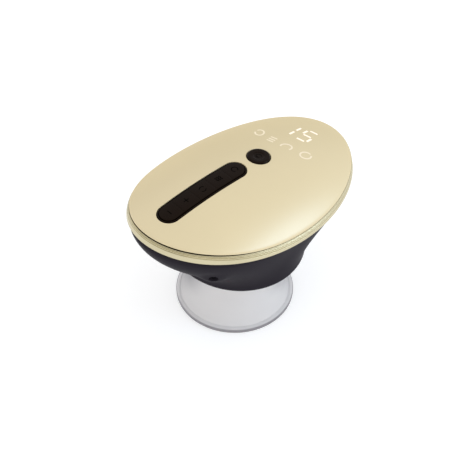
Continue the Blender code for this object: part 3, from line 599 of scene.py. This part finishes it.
def top_cover():
    """Domed plated cover with a rolled rim and rounded openings, as a closed shell."""
    clear = 1.1
    points = [(s, w) for s, w in lattice() if strip_distance(s, w) > STRIP_RADIUS + clear
              and math.hypot(s - POWER_S, w) > POWER_HOLE + clear]
    rim = list(zip(*outline(np.linspace(0, 2 * math.pi, AROUND, endpoint=False))))
    loops = [rim, strip_outline(STRIP_RADIUS)]
    ring = np.linspace(0, 2 * math.pi, 72, endpoint=False)
    loops.append([(POWER_S + POWER_HOLE * math.cos(a), POWER_HOLE * math.sin(a)) for a in ring])
    for out in (0.02, 0.07, 0.15, 0.24, 0.34, 0.6):
        points += strip_outline(STRIP_RADIUS + out)
        radius = POWER_HOLE + out
        points += [(POWER_S + radius * math.cos(a), radius * math.sin(a)) for a in ring]
    edges, start = [], 0
    for loop in loops:
        edges += [(start + i, start + (i + 1) % len(loop)) for i in range(len(loop))]
        start += len(loop)
    flat = [Vector(p) for loop in loops for p in loop] + [Vector(p) for p in points]
    spots, _, triangles, _, _, _ = delaunay_2d_cdt(flat, edges, [], 0, 1e-6)
    s, w = np.array(spots).T
    kept = []
    for triangle in triangles:
        cs, cw = s[list(triangle)].mean(), w[list(triangle)].mean()
        if strip_distance(cs, cw) > STRIP_RADIUS and math.hypot(cs - POWER_S, cw) > POWER_HOLE:
            kept.append(tuple(triangle))
    outside = cover_surface(s, w)
    on_rim = reach(s, w) > 1 - 1e-6
    inside = np.maximum(cover_height(s, w) - COVER_WALL, rise(s) + lift(s) - COVER_EDGE)
    inside = np.where(on_rim, outside, inside)
    verts = np.concatenate([head_place(s, w, outside), head_place(s, w, inside)])
    count = len(s)
    faces = list(kept) + [tuple(count + i for i in reversed(f)) for f in kept]
    once = {}
    for f in kept:
        for a, b in zip(f, f[1:] + f[:1]):
            once[frozenset((a, b))] = None if frozenset((a, b)) in once else (a, b)
    faces += [(b, a, count + a, count + b) for a, b in filter(None, once.values())
              if not (on_rim[a] and on_rim[b])]
    return piece("cover_shell", verts, faces, GOLD, "head", "top_cover", "gold_cover", sharp=50)


def trim_ring():
    """Polished band under the cover's edge: a sloping half with three fine grooves over an upright
    half. The gap over it is open at the key end, where the cover's edge is lifted."""
    section = [(-2.0, -1.5), (-0.3, -1.5)]
    section += rounded([(-0.3, -1.35), (0.02, -0.55), (0.2, -0.55), (0.32, -0.95), (0.05, -1.15),
                        (0.42, -1.35), (0.58, -1.75), (0.2, -2.0), (0.63, -2.2), (0.7, -2.5),
                        (0.35, -2.75), (0.88, -2.97), (1.2, -4.15), (1.1, -4.5), (-1.2, -4.5)],
                       [0.05, 0.08, 0.05, 0.04, 0.05, 0.06, 0.05, 0.06, 0.06, 0.05, 0.06, 0.15,
                        0.12])
    t = np.linspace(0, 2 * math.pi, AROUND, endpoint=False)
    rings = []
    for out, up in section:
        raised, held = np.clip([(up + 4.15) / 1.2, (up + 1.8) / 1.3], 0, 1)
        share = raised - 0.6 * held
        rings.append(rim_ring(t, out, up, share))
    rings += [rim_ring(t, out, -2.0) for out in (-1.2, -2.0)]
    verts, faces = joined_rings(rings, closed_section=True)
    return piece("gold_trim_ring", verts, faces, GOLD_TRIM, "head", "trim_ring", "gold_trim", sharp=60)


def spot_face(points):
    """Draws the housing's surface to the flat round the charging hole, and fades out round it."""
    face = np.array(JACK_FACE) + (CUP_X, 0, 0)
    axis = np.array(JACK_AXIS) / np.linalg.norm(JACK_AXIS)
    deep = (points - face) @ axis
    off_axis = np.linalg.norm(points - face - deep[:, None] * axis, axis=1)
    near = np.clip((JACK_FADE - off_axis) / (JACK_FADE - JACK_FLAT), 0, 1)
    near = (near * near * (3 - 2 * near)) ** 1.5 * (np.abs(deep) < JACK_FADE)
    return points - axis * (deep * near)[:, None]


def jack_tool(name, profile):
    """A turned tool on the axis of the charging hole, for a boolean."""
    face = np.array(JACK_FACE) + (CUP_X, 0, 0)
    obj = turned(name, profile, CHARCOAL, "head", face, JACK_AXIS, 48)
    obj.parent = None
    return obj


def lower_housing():
    """Dark shell that sweeps from the rim in to a round neck, with the bored charging hole."""
    t = np.linspace(0, 2 * math.pi, AROUND, endpoint=False)
    edge_round = HULL_TOP_ROUND + HULL_KEY_END_ROUND * lift(outline(t)[0]) / KEY_END_LIFT
    top = sweep_place(hull, t, HULL_TOP_H - edge_round)
    shoulder = hull(t, top)
    inner_top = rim_ring(t, LEDGE_OUT, HULL_TOP_H)
    edge = hull(t, sweep_place(hull, t, HULL_TOP_H))
    inwards = inner_top - edge
    inwards /= np.linalg.norm(inwards, axis=1, keepdims=True)
    rings = [inner_top]
    corner, brow = edge, edge + inwards * edge_round[:, None]
    for f in np.linspace(0, 1, 10):
        rings.append((1 - f) ** 2 * brow + 2 * (1 - f) * f * corner + f * f * shoulder)
    rings += [spot_face(hull(t, top + (1 - top) * f)) for f in np.linspace(0, 1, 90)[1:]]
    foot = rings[-1]
    out = (foot - (CUP_X + NECK_SHIFT, 0, 0)) * (1, 1, 0)
    out /= np.linalg.norm(out, axis=1, keepdims=True)
    for a in np.linspace(0, math.pi / 2, 9)[1:]:
        drop = np.array((0, 0, FOOT_ROUND * math.sin(a)))
        rings.append(foot - out * FOOT_ROUND * (1 - math.cos(a)) - drop)
    round_edge = rounded([(FOOT_HOLE + 3, FOOT_Z), (FOOT_HOLE, FOOT_Z), (FOOT_HOLE, FOOT_Z + WALL)],
                         0.5)
    for radius, z in round_edge[1:]:
        x, y = CUP_X + radius * np.cos(t), radius * np.sin(t)
        rings.append(np.stack([x, y, np.full(AROUND, z)], axis=1))
    base = hull_inside(t, np.ones(AROUND))
    rings.append(base * (1, 1, 0) + (0, 0, FOOT_Z + WALL))
    under = sweep_place(hull_inside, t, LEDGE_BOTTOM_H)
    rings += [hull_inside(t, 1 + (under - 1) * f) for f in np.linspace(0, 1, 14)]
    rings.append(rim_ring(t, LEDGE_OUT, LEDGE_BOTTOM_H))
    verts, faces = joined_rings(rings, closed_section=True)
    housing = piece("housing_shell", verts, faces, CHARCOAL, "head", "lower_housing",
                    "charcoal_shell", sharp=40)
    boss = [(0, -1.4), (3.1, -1.4), (3.1, -6.5), (0, -6.5)]
    apply_boolean(housing, jack_tool("boss", boss), "UNION")
    bore = [(0, 3), (JACK_HOLE + 3.1, 3), (JACK_HOLE + 0.35, 0.2), (JACK_HOLE, -0.25),
            (JACK_HOLE, -1.6), (2.75, -1.6), (2.75, -8), (0, -8)]
    apply_boolean(housing, jack_tool("bore", bore), "DIFFERENCE")
    housing.data.set_sharp_from_angle(angle=math.radians(40))
    return housing


# ---------------------------------------------------------------- keys and display

def keypad_bezel():
    """Thin frame round the five keys, rounded on top, that follows the cover's curve."""
    middle = (BEZEL_OUTER + BEZEL_INNER) / 2
    half = (BEZEL_OUTER - BEZEL_INNER) / 2
    rings = []
    for a in np.linspace(0, math.pi, 9):
        s, w = np.array(strip_outline(middle + half * math.cos(a))).T
        rings.append(head_place(s, w, cover_height(s, w) - 0.25 + 0.3 * math.sin(a)))
    for radius in (BEZEL_INNER, BEZEL_OUTER):
        s, w = np.array(strip_outline(radius)).T
        rings.append(head_place(s, w, cover_height(s, w) - 2.4))
    verts, faces = joined_rings(rings, closed_section=True)
    return piece("key_strip_bezel", verts, faces, KEY_BLACK, "head", "keypad_bezel", "key_black",
                 sharp=50)


def key_outline(number, inset):
    """Outline (s, w) about a key's centre, drawn in by a margin."""
    reach_s, radius = (KEY_PITCH - KEY_GAP) / 2 - inset, KEY_RADIUS - inset
    points = []
    for side in (1, -1):
        if number == (KEY_COUNT if side == 1 else 1):
            arc = np.linspace(-math.pi / 2, math.pi / 2, 25) * side
            points += [(side * radius * math.cos(a), radius * math.sin(a)) for a in arc]
        else:
            points += [(side * reach_s, side * w * radius) for w in np.linspace(-1, 1, 9)]
    return np.array(points)


def key_top(s, w):
    return cover_height(s, w) + KEY_PROUD


def key_cap(number):
    """A key cap that follows the cover, with a rounded edge, on the stem towards its switch."""
    centre = STRIP_START + (number - 1) * KEY_PITCH
    underside = cover_height(centre, 0.0) - 2.5
    stem_end = min(STEM_BOTTOM, underside - 0.05)
    edge = 0.04
    rings = []

    def ring(inset, shrink, drop):
        s, w = (key_outline(number, inset) * shrink).T
        return head_place(centre + s, w, key_top(centre + s, w) - drop)

    rings.append(ring(0, 0.001, 0))
    rings += [ring(edge, f, 0) for f in (0.25, 0.5, 0.75)]
    for a in np.linspace(0, math.pi / 2, 6):
        rings.append(ring(edge * (1 - math.sin(a)), 1, edge * (1 - math.cos(a))))
    s, w = key_outline(number, 0).T
    rings.append(head_place(centre + s, w, underside))
    a = np.arctan2(w, s)
    for radius, h in ((STEM_RADIUS, underside), (STEM_RADIUS, stem_end), (0.001, stem_end)):
        rings.append(head_place(centre + radius * np.cos(a), radius * np.sin(a), h))
    verts, faces = joined_rings(rings)
    count = len(a)
    faces += [tuple(range(count)), tuple(range(len(verts) - count, len(verts)))]
    node = f"key_{number}"
    return piece(f"key_cap_{number}", verts, faces, KEY_BLACK, node, node, "key_black", sharp=50)


def arc(centre, radii, start, end, turn=0.0, count=31):
    """(s, w) points of part of an ellipse, by degrees from its first axis, which is turned."""
    a, turn = np.radians(np.linspace(start, end, count)), math.radians(turn)
    x, y = radii[0] * np.cos(a), radii[1] * np.sin(a)
    return list(zip(centre[0] + x * math.cos(turn) - y * math.sin(turn),
                    centre[1] + x * math.sin(turn) + y * math.cos(turn)))


def key_marks():
    """Faint generic symbols, one on each key: minus, plus, air, warmth and a ring."""
    def line(a, b):
        return [tuple(np.array(a) + f * (np.array(b) - a)) for f in np.linspace(0, 1, 7)]

    half, radii = 1.4, (1.5, 1.5)
    minus, plus, air, warmth, ring = (STRIP_START + i * KEY_PITCH for i in range(KEY_COUNT))
    marks = [
        [line((minus, -half), (minus, half))],
        [line((plus - half, 0), (plus + half, 0)), line((plus, -half), (plus, -0.2)),
         line((plus, 0.2), (plus, half))],
        [arc((air, 0), radii, 30, 150), arc((air, 0), radii, 210, 330)],
        [[(s + warmth + 0.35 * math.sin(f * 5), f - 1.2) for f in np.linspace(0, 2.6, 15)]
         for s in (-1.1, 0, 1.1)],
        [arc((ring, 0), radii, -60, 240)],
    ]
    for number, paths in enumerate(marks, 1):
        ribbon(f"key_mark_{number}", paths, 0.42, key_top, MARK_HEIGHT, KEY_MARK, f"key_{number}",
               slot="key_black")


def power_button():
    """Round cap: bevelled edge, raised rim and a shallow dish with a fine ring in it."""
    base = float(cover_height(POWER_S, 0.0))
    underside = base - 2.5
    at = head_place(POWER_S, 0.0, 0.0)
    axis = head_place(0.0, 0.0, 1.0) - head_place(0.0, 0.0, 0.0)
    profile = [(0, base + 0.2)]
    profile += rounded([(1.2, base + 0.2), (2.3, base + 0.22), (2.65, base + 0.42), (4.4, base + 0.55),
                        (5.0, base + 0.42), (POWER_RADIUS, base - 0.1), (POWER_RADIUS, underside)],
                       [0.15, 0.15, 0.4, 0.25, 0.3])
    profile += [(STEM_RADIUS, underside), (STEM_RADIUS, STEM_BOTTOM), (0, STEM_BOTTOM)]
    turned("power_cap", profile, KEY_BLACK, "power_button", at, axis, node="power_button",
           slot="key_black")
    a = np.radians(np.linspace(-60, 240, 41))
    ring = [(POWER_S + 1.25 * math.cos(x), 1.25 * math.sin(x)) for x in a]
    stroke = [(POWER_S + f, 0.0) for f in np.linspace(-1.6, -0.4, 5)]
    ribbon("power_mark", [ring, stroke], 0.3, lambda s, w: np.full(np.shape(s), base + 0.2),
           MARK_HEIGHT, KEY_MARK, "power_button", slot="key_black")


def digit(lit_segments, place):
    """Strokes of a seven-segment digit; place counts cells from the right one."""
    left, right, top = -DIGIT_HALF_WIDTH, DIGIT_HALF_WIDTH, DIGIT_HALF_HEIGHT
    segments = {
        "a": ((left, top), (right, top)), "b": ((right, top), (right, 0)),
        "c": ((right, 0), (right, -top)), "d": ((left, -top), (right, -top)),
        "e": ((left, 0), (left, -top)), "f": ((left, top), (left, 0)), "g": ((left, 0), (right, 0)),
    }
    strokes = []
    for key in lit_segments:
        a, b = (np.array(p) for p in segments[key])
        a, b = a + (b - a) / np.linalg.norm(b - a) * 0.85, b + (a - b) / np.linalg.norm(b - a) * 0.85
        spots = [a + f * (b - a) for f in np.linspace(0, 1, 9)]
        strokes.append([tuple(DIGIT_CENTRE + (x - place * DIGIT_PITCH) * DIGIT_RIGHT + y * DIGIT_UP)
                        for x, y in spots])
    return strokes


def display():
    """Lit digits and symbols that shine through the thin plating."""
    for name, strokes in (("digit_tens", digit("bc", 1)), ("digit_units", digit("afgcd", 0))):
        ribbon(name, strokes, SEGMENT_WIDTH, cover_height, MARK_HEIGHT, DIGIT_GLOW, "head",
               slot="gold_cover")
    marks = {
        "symbol_crescent": [arc((29.0, 14.5), (2.9, 2.1), 70, 390, 45)],
        "symbol_heat": [[(a + 0.7 * f, w - 3.5 * f) for f in np.linspace(0, 1, 7)]
                        for a, w in ((29.8, 7.8), (28.05, 7.6), (26.4, 7.3))],
        "symbol_arch": [arc((29.5, -2.4), (2.75, 2.1), -67, 169, -38)],
        "symbol_ring": [arc((33.5, -11.4), (2.75, 2.1), 15, 350, -25)],
    }
    for name, paths in marks.items():
        ribbon(name, paths, 0.9, cover_height, MARK_HEIGHT, SYMBOL_GLOW, "head", slot="gold_cover")


# ---------------------------------------------------------------- cup and treatment core

def cup():
    """Flared frosted cup with a rounded lip and a plain neck."""
    outer = [(19.6, CUP_TOP - 0.3), (19.6, 33.0)]
    outer += smooth_line([(19.6, 27.0), (20.4, 17.5), (22.2, 10.5), (24.4, 6.3), (26.9, 3.4)])
    lip = rounded([(26.9, 3.4), (27.1, 2.9), (27.6, 2.75), (28.6, 2.15), (29.0, 1.7), (29.0, 0.4),
                   (28.7, 0.0), (27.2, 0.0), (26.6, 0.8)], [0.12, 0.15, 0.2, 0.2, 0.3, 0.25, 0.5])
    inner = smooth_line([(26.6, 0.8), (25.2, 2.2), (22.6, 5.4), (20.3, 10.1), (18.6, 17.1),
                         (17.8, 27.0)])
    top = [(17.8, 33.0), (17.8, CUP_TOP - 0.3), (18.1, CUP_TOP), (19.3, CUP_TOP)]
    turned("frosted_cup", outer + lip[1:-1] + inner + top, CUP_FROST, "cup", (CUP_X, 0, 0),
           count=CUP_SEGMENTS, node="cup", slot="frosted_cup")


def treatment_core():
    """Steel plate with a rolled edge and small suction holes, and the red lamp lens round it."""
    plate = rounded([(0, 31.3), (11.4, 31.3), (11.4, 32.3), (0, 32.3)], 0.3)
    made = turned("steel_plate", plate, STEEL, "head", (CUP_X, 0, 0), node="treatment_plate",
                  slot="steel")
    hole = [(0, 30), (1.5, 30.7), (0.8, 31.4), (0.8, 34), (0, 34)]
    for a in np.linspace(0, 2 * math.pi, PLATE_HOLES, endpoint=False):
        at = (CUP_X + PLATE_HOLE_CIRCLE * math.cos(a), PLATE_HOLE_CIRCLE * math.sin(a), 0)
        tool = turned("hole", hole, STEEL, "head", at, count=24)
        tool.parent = None
        apply_boolean(made, tool, "DIFFERENCE")
    made.data.set_sharp_from_angle(angle=math.radians(40))
    lens = rounded([(13.0, 31.3), (14.3, 31.3), (14.3, 32.5), (11.8, 32.5), (11.8, 31.3),
                    (13.0, 31.3)], 0.3)
    turned("lamp_ring", lens[:-1], LAMP, "head", (CUP_X, 0, 0), node="light_lens",
           slot="lamp_lens")


def valve_spring():
    """Return spring over the release valve's plunger, built as one fixed coil that does not shorten as
    the plunger lifts.
    """
    low, high = (np.array(corner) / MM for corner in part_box("valve_spring"))
    centre = (low + high) / 2
    coil = (high[0] - low[0]) / 2 - SPRING_WIRE
    sides = np.linspace(0, 2 * math.pi, 12, endpoint=False)
    bottom, tall = low[2] + SPRING_WIRE, high[2] - low[2] - 2 * SPRING_WIRE
    rings = []
    along = np.linspace(0, 1, SPRING_TURNS * 36 + 1)
    for f, wire in zip([0, *along, 1], [0, *np.full(len(along), SPRING_WIRE), 0]):
        a = 2 * math.pi * SPRING_TURNS * f
        r = coil + wire * np.cos(sides)
        x, y = centre[0] + r * math.cos(a), centre[1] + r * math.sin(a)
        rings.append(np.stack([x, y, bottom + tall * f + wire * np.sin(sides)], axis=1))
    verts, faces = joined_rings(rings)
    made = piece("valve_return_spring", verts, faces, STEEL, "head", "valve_spring", "steel",
                 sharp=60)
    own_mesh(made)


# ---------------------------------------------------------------- stage

def floor():
    """Pale table that the cup stands on, bright enough to pass for a white ground."""
    mesh = bpy.data.meshes.new("floor")
    size = 6.0
    corners = [(-size, -size, 0), (size, -size, 0), (size, size, 0), (-size, size, 0)]
    mesh.from_pydata(corners, [], [(0, 1, 2, 3)])
    paper = finish("pale_floor", (0.62, 0.62, 0.62), 0.8, cloud=(3, 0.004), grain=(200, 0.03),
                   Emission_Color=(1, 1, 1, 1), Emission_Strength=0.52)
    mesh.materials.append(paper)
    obj = bpy.data.objects.new("floor", mesh)
    bpy.context.scene.collection.objects.link(obj)


def soft_light(name, azimuth, elevation, distance, size, power, color=(1, 1, 1)):
    """A softbox that faces the head, at an azimuth from +X and an elevation, in degrees."""
    a, e = math.radians(azimuth), math.radians(elevation)
    away = Vector((math.cos(a) * math.cos(e), math.sin(a) * math.cos(e), math.sin(e)))
    light = bpy.data.lights.new(name, "AREA")
    light.shape = "RECTANGLE"
    light.size, light.size_y = size
    light.energy = power
    light.color = color
    obj = bpy.data.objects.new(name, light)
    obj.location = Vector((0, 0, 0.06)) + away * distance
    obj.rotation_mode = "QUATERNION"
    obj.rotation_quaternion = away.to_track_quat("Z", "Y")
    obj.visible_camera = False
    bpy.context.scene.collection.objects.link(obj)


def flag(tree, towards, azimuth, elevation, squeeze, core, edge, dark):
    """Strength of the surround in every direction: 1, and `dark` round the flag's middle."""
    a, e = math.radians(azimuth), math.radians(elevation)
    squeezed = tree.nodes.new("ShaderNodeMapping")
    squeezed.inputs["Scale"].default_value = (1, 1, squeeze)
    tree.links.new(towards, squeezed.inputs["Vector"])
    apart = tree.nodes.new("ShaderNodeVectorMath")
    apart.operation = "DISTANCE"
    tree.links.new(squeezed.outputs["Vector"], apart.inputs[0])
    middle = (math.cos(a) * math.cos(e), math.sin(a) * math.cos(e), squeeze * math.sin(e))
    apart.inputs[1].default_value = middle
    shade = tree.nodes.new("ShaderNodeMapRange")
    shade.interpolation_type = "SMOOTHSTEP"
    for end, value in zip(("From Min", "From Max", "To Min"), (core, edge, dark)):
        shade.inputs[end].default_value = value
    tree.links.new(apart.outputs["Value"], shade.inputs["Value"])
    return shade.outputs["Result"]


def studio():
    """White surround with two darker patches, which the camera itself doesn't see, and a softbox."""
    world = bpy.data.worlds.new("studio")
    bpy.context.scene.world = world
    world.use_nodes = True
    tree = world.node_tree
    background = tree.nodes["Background"]
    background.inputs["Color"].default_value = (0.98, 0.985, 1.0, 1)
    towards = tree.nodes.new("ShaderNodeTexCoord").outputs["Generated"]
    both = tree.nodes.new("ShaderNodeMath")
    both.operation = "MULTIPLY"
    tree.links.new(flag(tree, towards, *LOW_LEFT_FLAG), both.inputs[0])
    tree.links.new(flag(tree, towards, *BACK_FLAG), both.inputs[1])
    seen = tree.nodes.new("ShaderNodeMath")
    seen.operation = "MAXIMUM"
    tree.links.new(both.outputs["Value"], seen.inputs[0])
    tree.links.new(tree.nodes.new("ShaderNodeLightPath").outputs["Is Camera Ray"], seen.inputs[1])
    tree.links.new(seen.outputs["Value"], background.inputs["Strength"])
    soft_light("key_softbox", -50, 32, 1.3, (0.6, 0.45), 3.7, (0.57, 0.775, 1.0))
    view = bpy.context.scene.view_settings
    view.view_transform = "Standard"
    view.look = "None"


def camera():
    """Camera over the key end's near side, aimed at the middle of the cup's axis."""
    data = bpy.data.cameras.new("camera")
    data.lens = CAMERA_LENS
    data.shift_x, data.shift_y = CAMERA_SHIFT
    data.clip_start, data.clip_end = 0.05, 20
    obj = bpy.data.objects.new("camera", data)
    obj.location = CAMERA_AT
    target = Vector((CUP_X * MM, 0, CAMERA_TARGET_Z))
    obj.rotation_mode = "QUATERNION"
    obj.rotation_quaternion = (target - obj.location).to_track_quat("-Z", "Y")
    bpy.context.scene.collection.objects.link(obj)
    bpy.context.scene.camera = obj


camera()
dress_nodes()
top_cover()
trim_ring()
lower_housing()
keypad_bezel()
for number in range(1, KEY_COUNT + 1):
    key_cap(number)
key_marks()
power_button()
display()
cup()
treatment_core()
valve_spring()
floor()
studio()
